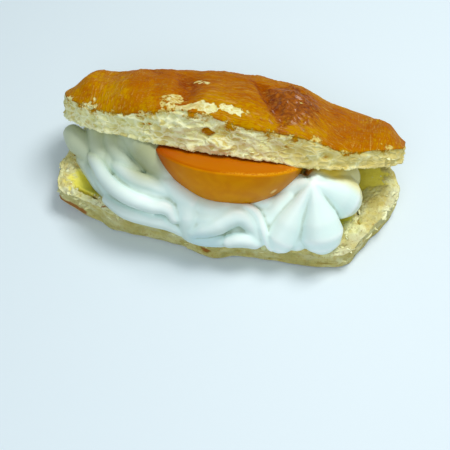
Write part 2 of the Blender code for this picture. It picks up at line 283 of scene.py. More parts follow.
def turnedDisc(topRings, wallLevels, underRings, steps):
    # a unit disc, one high, in rings over the top, down the wall and in underneath, in a fixed order
    profile = [(ring, 1.0) for ring in topRings]
    profile += [(1.0, level) for level in wallLevels]
    profile += [(ring, 0.0) for ring in underRings]
    bm = bmesh.new()
    rings = []
    for r, z in profile:
        angles = [2 * math.pi * k / steps for k in range(steps if r > 0 else 1)]
        rings.append([bm.verts.new((r * math.cos(a), r * math.sin(a), z)) for a in angles])
    for inner, outer in zip(rings, rings[1:]):
        for k in range(steps):
            corners = [inner[k % len(inner)], outer[k % len(outer)],
                       outer[(k + 1) % len(outer)], inner[(k + 1) % len(inner)]]
            bm.faces.new(list(dict.fromkeys(corners)))
    return bm


def eased(count, low, high, power=1.0):
    # count + 1 numbers from low to high, closer together near high where power is above 1
    return [high - (high - low) * (1 - i / count) ** power for i in range(count + 1)]


def mould(bm, shape, outline, surface):
    # moves a disc's points to their places, and stores what the scatter and the material read there
    steps, centre = shape["steps"], shape["centre"]
    points, length = closedOutline(outline, steps)
    first = round(math.atan2(points[0].y - centre.y, points[0].x - centre.x) / (2 * math.pi) * steps)
    layers = {mark: bm.verts.layers.float.new(mark) for mark in shape["marks"]}
    depth, seed, size = shape["torn"]
    for vert in bm.verts:
        reach, level = math.hypot(vert.co.x, vert.co.y), vert.co.z
        step = (round(math.atan2(vert.co.y, vert.co.x) / (2 * math.pi) * steps) - first) % steps
        edge = points[step]
        outward = (edge - centre).normalized()
        torn = depth * wander(edge.x, edge.y, seed, size) * smoothStep(0.8, 1.0, reach)
        spot = centre.lerp(edge, reach) + outward * torn
        vert.co, marks = surface(spot, reach, level, length * step / steps, outward)
        for name, value in marks.items():
            vert[layers[name]] = value


# torn puff pastry: leaves with gaps between them, and bubbles

leaves = {"big": 2.6 * mm, "small": 1.25 * mm, "bigDepth": 0.55 * mm, "smallDepth": 0.26 * mm,
          "bubble": 3.6 * mm, "bubbleDepth": 1.0 * mm}


def leafEdges(along, height, seed):
    # how near a point is to the thin edges of big and small leaves, and how torn it is there
    sway = 1.8 * mm * wander(along, 0, seed, 15 * mm) + 0.9 * mm * wander(along, height, seed + 3, 5 * mm)
    big = max(1 - 3.4 * abs(wander(0.30 * along, height + sway, seed, leaves["big"])), 0.0)
    small = max(1 - 3.0 * abs(wander(0.42 * along, height + sway, seed + 5, leaves["small"])), 0.0)
    tornShare = smoothStep(0.28, -0.12, wander(along, 1.8 * height, seed + 7, 8 * mm))
    return big, small, tornShare


def tornRelief(along, height, seed, airy=0.0):
    # how far a torn side stands in or out, and how deep in a hollow it is: airy has fewer leaves
    big, small, tornShare = leafEdges(along, height, seed)
    big, small = big * (1 - 0.65 * airy), small * (1 - 0.5 * airy)
    edge = leaves["bigDepth"] * (big - 0.4) + leaves["smallDepth"] * (small - 0.4)
    pillow = 1.1 * mm * wander(along, 1.4 * height, seed + 9, 6 * mm)
    pillow += 0.5 * mm * wander(along, 1.4 * height, seed + 13, 2.6 * mm)
    bubble = bubbleHole(along, height, seed)
    shift = pillow + edge * (0.25 + 0.75 * tornShare) * (1 - 0.5 * airy) - leaves["bubbleDepth"] * bubble
    hollow = 0.42 - 0.35 * big - 0.15 * small + 0.6 * bubble - 0.22 * pillow / mm
    return shift, hollow * (0.45 + 0.55 * tornShare)


def bubbleHole(along, height, seed):
    spot = Vector((0.55 * along, height, seed)) / leaves["bubble"]
    size = 0.5 + 0.5 * wander(along, height, seed + 11, 9 * mm)
    return smoothStep(0.42 * size, 0.12 * size, noise.voronoi(spot)[0][0])


# the upper half: a domed loaf on a flat cut face, in its own frame, then laid on its slope

lidShape = {
    "length": 141.5 * mm,
    "width": 63.0 * mm,
    "nearPinch": 14.0 * mm,      # the long edges fall back by this much at the ends
    "farPinch": 20.5 * mm,
    "wall": 11.5 * mm,           # height of the cut side
    "wallFarDrop": 2.0 * mm,     # how much lower it is at the far side
    "thickness": 22.0 * mm,      # at the crown, which falls towards both ends and to the right
    "endFall": 9.5 * mm,
    "rightFall": 5.2 * mm,
    "leftRise": 2.6 * mm,
    "slope": Euler((math.radians(-30.0), math.radians(-0.6), math.radians(4.3))),
    "hinge": Vector((1.8 * mm, 35.0 * mm, 8.0 * mm)),
    "spot": Vector((-4.3 * mm, -29.0 * mm, 0.0)),     # its middle, from the hinge
    "steps": 620,                # points round the edge
    "centre": Vector((0, 0)),
    "marks": ("glaze", "hollow", "bake", "blister", "lid", "lip"),
    "torn": (1.3 * mm, 9.0, 8 * mm),                  # how uneven the outline is, its seed and lump size
    # swells of the near cut side: place, height and half width
    "swells": inMm(3, (-12, 4.0, 16), (-50, -3.5, 16), (50, -6.0, 14)),
    # falls towards both tips: from, to and height
    "tipFalls": inMm(3, (54, 74, 5.6), (-50, -72, 2.4)),
    # folds and humps: place, height at the far side, more at the near side, half width and slant
    "folds": inMm(4, (-19.5, -0.2, -2.4, 4.6, 0.15), (9.0, -0.3, -2.8, 3.2, 0.50), (26.0, 1.8, 0.0, 9.0, 0.0),
                  (-62.0, 4.3, 0.6, 8.0, 0.0), (-34.0, -0.5, -0.3, 2.6, 0.35), (49.0, -0.5, -0.6, 3.5, -0.3),
                  (66.0, 6.5, -1.0, 7.0, 0.0)),
    # where the glaze is torn off: middle, half length, half width and share
    "tornSpots": inMm(4, (-20.3, -25.0, 5.0, 5.6, 0.60), (-12.0, -28.2, 6.4, 2.8, 1.05),
                      (-5.4, -28.6, 3.0, 2.0, 1.05), (3.0, -27.2, 6.6, 1.7, 0.80),
                      (-68.0, -17.0, 4.5, 4.5, 0.9), (35.0, -26.0, 5.0, 2.0, 0.5),
                      (-57.0, -20.5, 7.0, 2.2, 0.55), (64.0, -14.0, 5.0, 2.0, 0.5),
                      (-15.0, -5.4, 1.9, 0.9, 1.0), (-12.8, -7.4, 1.9, 0.9, 1.0),
                      (-10.6, -9.4, 1.9, 0.9, 1.0), (27.3, -9.7, 0.9, 0.7, 0.95),
                      (30.7, -5.7, 0.6, 0.6, 0.95)),
    "blister": inMm(4, (24.0, -10.0, 10.0, 16.0, 1.0)),
    # hollows in the cut side, and bulges below 0: place along it, height, half sizes and depth
    "pockets": inMm(5, (-5.4, 8.2, 3.2, 1.9, 3.0), (0.6, 8.9, 3.6, 2.8, 1.4), (-1.5, 3.4, 6.5, 2.9, -1.4),
                    (29.0, 5.5, 5.0, 2.0, 0.8), (41.0, 4.4, 2.6, 1.6, 1.1), (-18.0, 9.0, 7.0, 3.2, -1.1),
                    (-40.2, 6.6, 1.5, 0.5, 1.3), (-32.2, 6.9, 1.2, 0.6, 1.3), (-29.0, 4.8, 1.0, 0.5, 1.1)),
    # of the skin from least to most baked, also darker in the folds as painted shade, its blister and pale
    # streaks, these partly painted highlight, and the crumb of the cut side, whose hollow tint is partly
    # painted shade
    "skinTints": {"honey": (190, 137, 0), "amber": (178, 113, 0), "brown": (170, 94, 0), "dark": (140, 62, 0),
                  "burnt": (114, 46, 0), "wrinkle": (168, 94, 16), "streak": (220, 178, 78)},
    "cutTints": {"hollow": (196, 132, 0), "right": (214, 192, 108), "baked": (210, 188, 116),
                 "underSkin": (208, 172, 60)},
}


def lidOutline(turn):
    c, s = math.cos(turn), math.sin(turn)
    x = lidShape["length"] / 2 * math.copysign(abs(c) ** 0.5, c)
    pinch = lidShape["farPinch"] if s > 0 else lidShape["nearPinch"]
    width = lidShape["width"] / 2 - pinch * (2 * x / lidShape["length"]) ** 2
    return Vector((x, width * math.copysign(abs(s) ** 0.5, s)))


def lidWall(x, y):
    near = smoothStep(10 * mm, -10 * mm, y)
    swell = sum(height * bump(x, place, width) for place, height, width in lidShape["swells"])
    fall = sum(height * smoothStep(start, end, x) for start, end, height in lidShape["tipFalls"])
    return lidShape["wall"] - fall + near * swell - (1 - near) * lidShape["wallFarDrop"]


def lidCrown(x):
    along = min(abs(2 * x / lidShape["length"]), 1.0)
    crown = lidShape["thickness"] - lidShape["endFall"] * along ** 2.2
    crown -= lidShape["rightFall"] * smoothStep(5 * mm, 45 * mm, x)
    return crown + lidShape["leftRise"] * smoothStep(-20 * mm, -45 * mm, x)


def lidFold(x, y):
    near = smoothStep(12 * mm, -12 * mm, y)
    return sum((farHeight + nearHeight * near) * bump(x + slant * y, place, width)
               for place, farHeight, nearHeight, width, slant in lidShape["folds"])


def grainAcross(x):
    # 1 where the skin is stretched across the loaf, 0 where along it
    return max(bump(x, -48 * mm, 24 * mm), bump(x, 58 * mm, 12 * mm))


def skinRelief(x, y, blister):
    across = grainAcross(x)
    near = smoothStep(14 * mm, 0, y)
    lengthways = wander(0.16 * x, y + 0.1 * x, 5.1, 1.7 * mm)
    crossways = wander(x + 0.3 * y, 0.16 * y, 9.7, 1.7 * mm)
    fine = 0.34 * mm * (lengthways + (crossways - lengthways) * across)
    fine += 0.2 * mm * wander(x, y, 3.3, 1.1 * mm)
    lumps = 0.5 * mm * wander(x, y, 4.0, 5 * mm) + 0.9 * mm * wander(x, 0.5 * y, 4.0, 12 * mm) * near
    wrinkled = blister * (2.0 * mm * crinkle(x, y, 1.3, 3.4 * mm) - 0.4 * mm)
    return fine * (1 - 0.5 * blister) + lumps + wrinkled


def lidSurface(spot, reach, level, along, outward):
    # place of one point of the upper half, and what its material reads
    x, y = spot
    wall = lidWall(x, y)
    marks = dict.fromkeys(lidShape["marks"], 0.0)
    low = 0.35 * mm * (1 + wander(x, y, 1.0, 8 * mm)) + 0.3 * mm * wander(x, y, 2.0, 2.5 * mm)
    low -= 0.9 * mm * smoothStep(36 * mm, 50 * mm, abs(x)) * smoothStep(0.9, 1.0, reach)
    low -= 1.6 * mm * bump(x, 37 * mm, 13 * mm) * smoothStep(0.85, 1.0, reach) * smoothStep(0, -9 * mm, y)
    if reach > 0.999 and level < 1:
        return cutSide(spot, level, along, outward, low, wall, marks)
    if level < 0.5:
        marks["hollow"] = 0.5 + 0.5 * wander(x, y, 6.0, 3 * mm)
        low += 0.5 * mm * crinkle(x, y, 8.0, 5 * mm) * smoothStep(1.0, 0.9, reach)
        return Vector((x, y, low)), marks
    return glazedTop(x, y, reach, along, wall, marks)


def glazedTop(x, y, reach, along, wall, marks):
    blister = spotShare(x, y, lidShape["blister"], 0.45)
    dome = max(1 - reach ** 2.6, 0.0) ** 0.62
    inside = smoothStep(1.0, 0.86, reach)
    height = wall + (lidCrown(x) - wall) * dome + lidFold(x, y) * smoothStep(1.0, 0.82, reach)
    torn = spotShare(x, y, lidShape["tornSpots"], 0.5)
    torn = max(torn, 0.5 * smoothStep(0.98, 1.0, reach + 0.016 * wander(along, 0, 3.0, 5 * mm)))
    height += inside * (1 - torn) * skinRelief(x, y, blister)
    rough = wander(x, y, 8.0, 1.8 * mm) + 0.8 * wander(x, y, 9.0, 4.5 * mm)
    height += torn * (0.5 * mm * rough - 0.15 * mm) * smoothStep(1.0, 0.97, reach)
    fold = max(-lidFold(x, y), 0.0) / (3 * mm)
    crest = smoothStep(0.95, 0.45, reach)
    marks["glaze"] = 1 - torn
    marks["hollow"] = 0.25 - 0.35 * rough
    marks["blister"] = blister
    # bake is also raised in the folds, which darkens them: painted shade
    marks["bake"] = min(0.62 * crest + 0.9 * fold + 0.35 * blister + 0.25 * wander(x, y, 5.0, 14 * mm)
                        + 0.35 * smoothStep(28 * mm, 62 * mm, x), 1.2)
    return Vector((x, y, height)), marks


def pocketDepth(x, height):
    found = 0.0
    for place, middle, halfLength, halfHeight, depth in lidShape["pockets"]:
        rise = (height - middle) / halfHeight
        if abs(rise) < 1.5:
            # narrower towards the top
            far = math.hypot((x - place) / (halfLength * (1 - 0.35 * rise)), rise)
            found += depth * smoothStep(1.15, 0.5, far + 0.25 * wander(x, height, 0, 2 * mm))
    return found


def cutSide(spot, level, along, outward, low, wall, marks):
    x, y = spot
    height = level * wall
    airy, pocket = (smoothStep(4 * mm, 24 * mm, x), pocketDepth(x, height)) if y < 0 else (0.3, 0.0)
    relief, hollow = tornRelief(along, height, 1.7, airy)
    lip = smoothStep(0.18, 0.03, level)
    fray = lip * mm * (0.5 + 0.9 * wander(along, 0, 4.4, 1.3 * mm) + 0.9 * wander(along, 0, 8.4, 4 * mm))
    shift = relief * (1 - 0.6 * lip) * smoothStep(1.0, 0.92, level) + fray - pocket - 0.3 * mm
    marks["glaze"] = 0.42 * smoothStep(0.72, 1.0, level + 0.30 * wander(along, 0, 3.0, 5 * mm))
    # where hollow is high the material paints the crumb darker: partly its own colour, partly painted shade
    marks["hollow"] = min((hollow + pocket / (2.3 * mm)) * (1 - 0.6 * lip) - 0.25 * lip, 1.6)
    patchy = smoothStep(-0.15, 0.35, wander(along, 2 * height, 17.0, 8 * mm))
    marks["lid"] = patchy * smoothStep(0.9, 0.75, level)
    marks["lip"] = smoothStep(0.20, 0.05, level)
    place = spot + outward * shift
    drop = lip * 0.6 * mm * wander(along, 0, 14.0, 1.6 * mm)
    return Vector((place.x, place.y, low + (wall - low) * level - drop)), marks


def layOnSlope(thing, spot):
    # turned like the upper half, with this spot measured from the hinge
    turn = lidShape["slope"].to_matrix()
    thing.data.transform(Matrix.Translation(lidShape["hinge"] + turn @ spot) @ turn.to_4x4())


def buildLid():
    bm = turnedDisc([0] + eased(64, 0.02, 1.0, 1.35), eased(38, 0.975, 0.025),
                    [1.0, 0.985, 0.965, 0.94, 0.9, 0.84, 0.76, 0.66, 0.54, 0.4, 0.25, 0], lidShape["steps"])
    mould(bm, lidShape, [lidOutline(2 * math.pi * i / 48) for i in range(48)], lidSurface)
    across = bm.verts.layers.float.new("across")
    where = bm.verts.layers.float_vector.new("lidPlace")
    for vert in bm.verts:
        vert[across] = grainAcross(vert.co.x)
        vert[where] = vert.co
    lid = objectFrom(bm, "top_pastry_baked")
    layOnSlope(lid, lidShape["spot"])
    return lid


# colours shared by both halves

crumbTints = {"pale": (229, 227, 168), "straw": (216, 206, 120), "beige": (210, 194, 112),
              "brown": (190, 130, 30), "white": (240, 242, 204)}


def crumbColour(paint, place, hollow, hollowTintAndShade, webShare):
    # pale crumb, straw and then darker to this colour in hollows, partly the crumb's own colour and partly
    # painted shade, with this share of white walls
    patches = paint.noise(place, 100.0)
    lumps = paint.noise(place, 300.0, 3.0)
    grain = paint.noise(place, 1500.0)
    walls = (0.12 * grain + 0.12 * hollow + crumbWebs(paint, place)).step(0.26, 0.10)
    return paint.over(
        crumbTints["pale"], ((hollow + 0.6 * lumps - 0.3).step(0.15, 0.75), crumbTints["straw"]),
        (0.8 * (patches + 0.4 * lumps - 0.2).step(0.46, 0.62), crumbTints["beige"]),
        ((hollow + 0.4 * grain).step(0.85, 1.25), hollowTintAndShade),
        (0.35 * (lumps + 0.35 * grain).step(0.76, 0.88), crumbTints["brown"]),
        (webShare * walls, crumbTints["white"]))


def crumbWebs(paint, place):
    # 0 on the thin walls between flat bubbles
    sway = paint.noise(place, 240.0, output="Color")
    bent = paint.vectors("MULTIPLY_ADD", {0: sway, 1: (0.004,) * 3, 2: place})
    return paint.node("ShaderNodeTexVoronoi", {"feature": "DISTANCE_TO_EDGE"},
                      {"Vector": paint.stretched(bent, (200.0, 330.0, 480.0)), "Scale": 1.0}, "Distance")


def crumbHeight(paint, place):
    return 0.7 * paint.noise(place, 900.0, 3.0) + 0.8 * crumbWebs(paint, place).step(0.35, 0.0)


# the glazed skin and the cut side of the upper half

def skinNoises(paint, place, across):
    # streaks along the loaf, or across it where the skin is stretched so, and finer marks
    lengthways = paint.noise(paint.stretched(place, (100.0, 1300.0, 300.0), 0.12), 1.0, 3.0, 1.1)
    crossways = paint.noise(paint.stretched(place, (1200.0, 120.0, 300.0), -0.25), 1.0, 3.0, 1.1)
    threads = paint.noise(paint.stretched(place, (260.0, 3400.0, 700.0), 0.12), 1.0, 2.0, 0.8)
    return {"streak": lengthways * (1 - across) + crossways * across, "threads": threads - 0.5,
            "patches": paint.noise(place, 120.0, 4.0, 0.9), "spots": paint.noise(place, 520.0, 3.0, 0.5),
            "wrinkles": paint.noise(place, 430.0, 3.0, 1.4)}


def skinColour(paint, bake, across, blister, skin):
    tints, streak, threads, spots = lidShape["skinTints"], skin["streak"], skin["threads"], skin["spots"]
    dark = bake + 1.4 * skin["patches"] - 0.70 + 2.8 * (streak - 0.5) + 1.7 * (spots - 0.5)
    dark += 1.8 * threads * (1 - across)
    wrinkled = paint.mix(skin["wrinkles"].step(0.35, 0.65), tints["burnt"], tints["wrinkle"])
    # pale streaks: partly the glaze's own, partly painted highlight
    pale = (streak + 0.35 * threads + 0.25 * spots).step(0.68, 0.80) * (1 - 0.7 * blister)
    return paint.over(tints["honey"], (dark.step(-0.25, 0.15), tints["amber"]),
                      (dark.step(0.15, 0.65), tints["brown"]), (dark.step(0.75, 1.25), tints["dark"]),
                      (0.75 * blister, wrinkled), (0.48 * pale, tints["streak"]))


def cutColour(paint, place, bake, whole, skin):
    # the crumb of the cut side and under torn glaze, browner beside the skin and to the right
    tints = lidShape["cutTints"]
    crumb = crumbColour(paint, place, paint.attribute("hollow"), tints["hollow"], 0.7)
    right = paint.axis(place, "X").step(10 * mm, 40 * mm) * skin["patches"].step(0.32, 0.58)
    baked = bake.step(0.0, 0.3) * (0.3 + 0.5 * skin["spots"].step(0.40, 0.56))
    return paint.over(crumb, (0.75 * right, tints["right"]), (baked, tints["baked"]),
                      (0.7 * whole.step(0.18, 0.44), tints["underSkin"]))


def lidPaint():
    paint = Paint("browned_crust_and_crumb")
    place = paint.attribute("lidPlace", "Vector")
    bake, across, blister = (paint.attribute(name) for name in ("bake", "across", "blister"))
    skin = skinNoises(paint, place, across)
    ragged = paint.noise(place, 300.0, 3.0, 0.8) + 0.8 * paint.noise(place, 900.0, 3.0, 0.6)
    whole = paint.attribute("glaze") + 1.1 * (ragged - 0.9)
    glaze = whole.step(0.42, 0.54)
    colour = paint.mix(glaze, cutColour(paint, place, bake, whole, skin),
                       skinColour(paint, bake, across, blister, skin))
    height = glaze * (0.9 * skin["streak"] + 0.5 * skin["spots"] + 0.4)
    height += 0.6 * (1 - glaze) * crumbHeight(paint, place) + 1.6 * blister * glaze * skin["wrinkles"]
    return paint.surface(
        Base_Color=colour, Roughness=0.80 - 0.30 * glaze - 0.15 * glaze * blister,
        Coat_Weight=0.45 * glaze * blister, Coat_Roughness=0.22, Specular_IOR_Level=0.02,
        Specular_Tint=(1.0, 0.62, 0.20, 1.0), Normal=paint.relief(height, 0.80, 0.6 * mm))


# the lower half: a shallow tray with a torn rim

baseShape = {
    # seen from above, going round from the torn corner at the left
    "outline": [
        (-64.2, -30.0), (-50.2, -34.0), (-36.2, -37.0), (-13.2, -37.0), (6.3, -39.0), (16.8, -35.5),
        (41.8, -33.0), (57.3, -28.5), (61.8, -18.0), (70.8, 0.0), (70.8, 11.0), (61.8, 22.0),
        (41.8, 30.0), (1.8, 31.5), (-38.2, 30.0), (-58.2, 22.0), (-65.7, 2.0), (-67.2, -16.0),
    ],
    "centre": Vector((1.8 * mm, -4.0 * mm)),
    "floor": 5.4 * mm,           # height inside the rim
    "rim": 9.5 * mm,             # height of the rim, higher at both ends and lower at the back
    "leftRise": 3.5 * mm,
    "rightRise": 1.5 * mm,
    "backDrop": 1.0 * mm,
    "flapLift": 4.0 * mm,        # of the torn corner
    "lidSpace": 1.2 * mm,        # kept free under the upper half
    "steps": 600,                # points round the edge
    "marks": ("hollow", "bake", "side", "moist", "rim", "crumbs"),
    "torn": (1.2 * mm, 7.0, 7 * mm),                  # how uneven the outline is, its seed and lump size
    # moist and browned spots: middle, half length, half width and share
    "moistSpots": inMm(4, (-52.0, -24.5, 8.5, 6.0, 1.0), (57.5, 12.0, 7.5, 6.5, 0.9),
                       (52.5, -7.0, 3.4, 9.0, 1.0)),
    "bakedSpots": inMm(4, (-62.4, -11.6, 1.6, 2.2, 1.0), (-41.0, -34.8, 5.0, 0.8, 0.6),
                       (-31.5, -36.6, 5.0, 0.7, 0.6)),
    # hollows in the near side: place, half length, depth, level and half its height
    "pockets": inMm(3, (1.4, 2.8, 1.2, 0.36, 0.20), (49.5, 3.4, 1.1, 0.24, 0.07),
                    (51.0, 2.6, 0.9, 0.52, 0.06)),
    # torn open in the rim: where from, where to, half width and depth
    "cracks": inMm(6, (-56.0, -29.0, -51.0, -30.6, 1.1, 3.0), (-51.0, -30.6, -46.4, -31.8, 0.8, 2.4),
                   (58.5, -14.0, 56.5, -5.0, 0.9, 1.2), (49.0, -29.5, 56.0, -25.0, 0.7, 1.4)),
    # hollow: darker crumb in hollows and cracks, partly painted shade; side: painted shade on the near side
    "tints": {"hollow": (150, 128, 40), "side": (168, 158, 84), "right": (190, 176, 96),
              "rim": (222, 232, 214), "moist": (250, 240, 108), "wet": (236, 222, 54),
              "speck": (164, 112, 40), "browned": (156, 100, 34)},
}


def lidHeight(x, y):
    normal = lidShape["slope"].to_matrix() @ Vector((0, 0, 1))
    hinge = lidShape["hinge"]
    return hinge.z - (normal.x * (x - hinge.x) + normal.y * (y - hinge.y)) / normal.z


def baseTop(x, y, reach, moist):
    rim = baseShape["rim"] + baseShape["leftRise"] * smoothStep(30 * mm, -65 * mm, x)
    rim += baseShape["rightRise"] * smoothStep(45 * mm, 65 * mm, x)
    rim -= baseShape["backDrop"] * smoothStep(0, 30 * mm, y)
    rim += 1.2 * mm * wander(x, y, 0.5, 16 * mm)
    rim = min(rim, lidHeight(x, y) - baseShape["lidSpace"])
    floor = baseShape["floor"] + 0.6 * mm * wander(x, y, 2.5, 12 * mm)
    rise = smoothStep(0.62, 0.93, reach)
    height = floor + (rim - floor) * rise - 1.2 * mm * smoothStep(0.94, 1.0, reach)
    flaky = rise * (1 - moist)
    ledge = (height + 1.4 * mm * wander(x, y, 1.5, 4.5 * mm)) / (1.1 * mm)
    terrace = (math.floor(ledge) + smoothStep(0.3, 0.7, ledge - math.floor(ledge))) - ledge
    height += flaky * (0.75 * mm * terrace + 0.55 * mm * wander(x, y, 6.6, 1.5 * mm)
                       + 0.6 * mm * crinkle(x, y, 9.6, 3.6 * mm))
    return height - crackDepth(x, y)


def crackDepth(x, y):
    spot = Vector((x + 0.5 * mm * wander(x, y, 3.0, 2 * mm), y + 0.6 * mm * wander(x, y, 5.0, 2 * mm)))
    deepest = 0.0
    for fromX, fromY, toX, toY, halfWidth, depth in baseShape["cracks"]:
        first, last = Vector((fromX, fromY)), Vector((toX, toY))
        along = min(max((spot - first).dot(last - first) / (last - first).length_squared, 0.0), 1.0)
        away = (spot - first.lerp(last, along)).length
        deepest = max(deepest, depth * smoothStep(halfWidth, 0.3 * halfWidth, away))
    return deepest


def baseSurface(spot, reach, level, along, outward):
    # place of one point of the lower half, and what its material reads
    x, y = spot
    marks = dict.fromkeys(baseShape["marks"], 0.0)
    moist = spotShare(x, y, baseShape["moistSpots"], 0.4)
    corner = math.exp(-((x + 65 * mm) ** 2 + (y + 31 * mm) ** 2) / (10 * mm) ** 2)
    low = 0.9 * mm * smoothStep(0.9, 1.0, reach)
    low += baseShape["flapLift"] * corner * smoothStep(0.82, 1.0, reach)
    high = max(baseTop(x, y, reach, moist), low + 3.5 * mm)
    if reach > 0.999 and 0 < level < 1:
        return baseSide(spot, level, low, high, along, outward, marks)
    if level < 0.5:
        marks["hollow"] = 0.3
        marks["bake"] = smoothStep(1.0, 0.97, reach)
        return Vector((x, y, low)), marks
    marks["moist"] = moist
    # hollow is higher in cracks, where the material paints the crumb darker: partly painted shade
    marks["hollow"] = 0.20 + 0.5 * wander(x, y, 6.6, 1.8 * mm) + crackDepth(x, y) / (1.6 * mm)
    marks["bake"] = spotShare(x, y, baseShape["bakedSpots"], 0.4)
    flaky = smoothStep(-0.1, 0.3, wander(x, y, 4.4, 7 * mm))
    marks["rim"] = smoothStep(0.80, 0.90, reach) * (1 - moist) * flaky
    marks["crumbs"] = smoothStep(0.82, 0.90, reach)
    return Vector((x, y, high)), marks


def baseSide(spot, level, low, high, along, outward, marks):
    height = low + (high - low) * level
    relief, hollow = tornRelief(along, height, 5.3)
    soft = smoothStep(0.0, 0.12, level) * smoothStep(1.0, 0.92, level)
    pocket = 0.0
    for middle, halfLength, depth, rise, halfRise in baseShape["pockets"]:
        if spot.y < -20 * mm:
            far = math.hypot((spot.x - middle) / halfLength, (level - rise) / halfRise)
            pocket += depth * smoothStep(1.2, 0.5, far + 0.25 * wander(along, height, 3, 1.5 * mm))
    place = spot + outward * (relief * soft - pocket - 0.2 * mm)
    # side: painted shade on the side, less towards the right end
    marks["side"] = 1 - 0.8 * smoothStep(38 * mm, 54 * mm, place.x)
    flaky = smoothStep(-0.1, 0.3, wander(along, 2 * height, 4.4, 7 * mm))
    marks["rim"] = 0.5 * flaky * smoothStep(0.3, 0.6, level)
    # hollow is higher in pockets, which the material paints darker: partly painted shade
    marks["hollow"] = max(hollow, 0.0) + 0.15 + pocket / mm
    marks["bake"] = smoothStep(0.44, 0.16, level + 0.15 * wander(along, 0, 2.0, 5 * mm))
    marks["bake"] = max(marks["bake"] * smoothStep(-46 * mm, -56 * mm, place.x), 0.7 * pocket / mm)
    return Vector((place.x, place.y, height)), marks


def buildBase():
    bm = turnedDisc([0, 0.15, 0.3, 0.42, 0.52] + eased(52, 0.58, 1.0, 1.15), eased(24, 0.96, 0.04),
                    [1.0, 0.98, 0.95, 0.91, 0.86, 0.78, 0.66, 0.5, 0.3, 0], baseShape["steps"])
    mould(bm, baseShape, [(x * mm, y * mm) for x, y in baseShape["outline"]], baseSurface)
    return objectFrom(bm, "base_pastry_baked")


def basePaint():
    paint = Paint("baked_crumb")
    place, tints = paint.place(), baseShape["tints"]
    moist, bake = paint.attribute("moist"), paint.attribute("bake")
    crumb = crumbColour(paint, place, paint.attribute("hollow"), tints["hollow"], 0.2)
    # painted shade on the side, patchy
    sideShade = paint.attribute("side") * (0.45 + 0.5 * paint.noise(place, 130.0, 3.0, 0.4).step(0.30, 0.75))
    patches = paint.noise(place, 160.0, 3.0, 0.6).step(0.36, 0.60)
    right = paint.axis(place, "X").step(20 * mm, 48 * mm) * patches
    wet = paint.mix(paint.noise(place, 300.0), tints["moist"], tints["wet"])
    specks = paint.noise(place, 1100.0, 2.0, 0.6).step(0.60, 0.68) * (1 - moist)
    browned = (bake + 0.5 * (paint.noise(place, 500.0) - 0.5)).step(0.4, 0.7)
    colour = paint.over(crumb, (sideShade, tints["side"]), (0.7 * right, tints["right"]),
                        (0.35 * paint.attribute("rim"), tints["rim"]), (moist, wet),
                        (0.45 * specks, tints["speck"]), (browned, tints["browned"]))
    height = (paint.noise(place, 900.0, 3.0) + 0.6 * paint.noise(place, 350.0, 3.0)) * (1 - 0.8 * moist)
    return paint.surface(Base_Color=colour, Roughness=0.8 - 0.35 * moist, Specular_IOR_Level=0.4,
                         Normal=paint.relief(height, 0.85, 0.8 * mm))


# the peach half: round side down in the cream, flat side up under the lid

peachShape = {
    "size": Vector((30.5, 27.2, 25.8)) * mm,
    "spot": Vector((-1.6, -47.5, -0.6)) * mm,     # its middle, from the hinge
    "taper": 1.25,               # above 1 its sides run in straighter from the cut face
    # a painted highlight dash: middle, half sizes and turn
    "highlightDash": {"Location": Vector((24.5, -22.6, 29.9)) * mm, "Scale": Vector((1.9, 0.45, 3.0)) * mm,
             "Rotation": (0.0, 0.0, 0.64)},
    # face, side and rim: painted shade on the cut face, the left side and the left of the rim; rimHighlight
    # and highlightDash: painted highlights
    "tints": {"flesh": (206, 128, 0), "lighter": (214, 140, 0), "face": (190, 106, 0), "side": (168, 66, 0),
              "rim": (170, 88, 0), "rimHighlight": (232, 176, 40), "highlightDash": (250, 216, 150)},
}


def buildPeach():
    bm = bmesh.new()
    bmesh.ops.create_uvsphere(bm, u_segments=144, v_segments=120, radius=1.0)
    cut = bmesh.ops.bisect_plane(bm, geom=bm.verts[:] + bm.edges[:] + bm.faces[:], dist=1e-5,
                                 plane_co=(0, 0, 0), plane_no=(0, 0, 1), clear_outer=True)
    rim = [part for part in cut["geom_cut"] if isinstance(part, bmesh.types.BMEdge)]
    face = bmesh.ops.contextual_create(bm, geom=rim)["faces"]
    bmesh.ops.inset_region(bm, faces=face, thickness=0.03)
    layers = {name: bm.verts.layers.float.new(name) for name in ("rim", "face", "side")}
    size, taper = peachShape["size"], peachShape["taper"]
    for vert in bm.verts:
        x, y, z = vert.co
        flat = math.hypot(x, y)
        uneven = (1 + 0.014 * wander(x, y, z, 0.5)) * max(flat, 1e-6) ** (taper - 1)
        # rim, face and side mark where the material paints shade and highlights
        vert[layers["rim"]] = bump(z, 0.0, 0.03) * smoothStep(0.975, 0.995, flat)
        vert[layers["face"]] = smoothStep(-0.02, 0.0, z)
        vert[layers["side"]] = smoothStep(-0.35, -0.92, x)
        rounded = 0.7 * mm * smoothStep(0.955, 1.0, flat) * smoothStep(-0.2, 0.0, z)
        inset = 1 - 0.018 * smoothStep(-0.06, 0.0, z)
        vert.co = (x * size.x * uneven * inset, y * size.y * uneven * inset,
                   -max(-z, 0.0) ** taper * size.z - rounded)
    peach = objectFrom(bm, "peach_half_ripe")
    layOnSlope(peach, peachShape["spot"])
    return peach


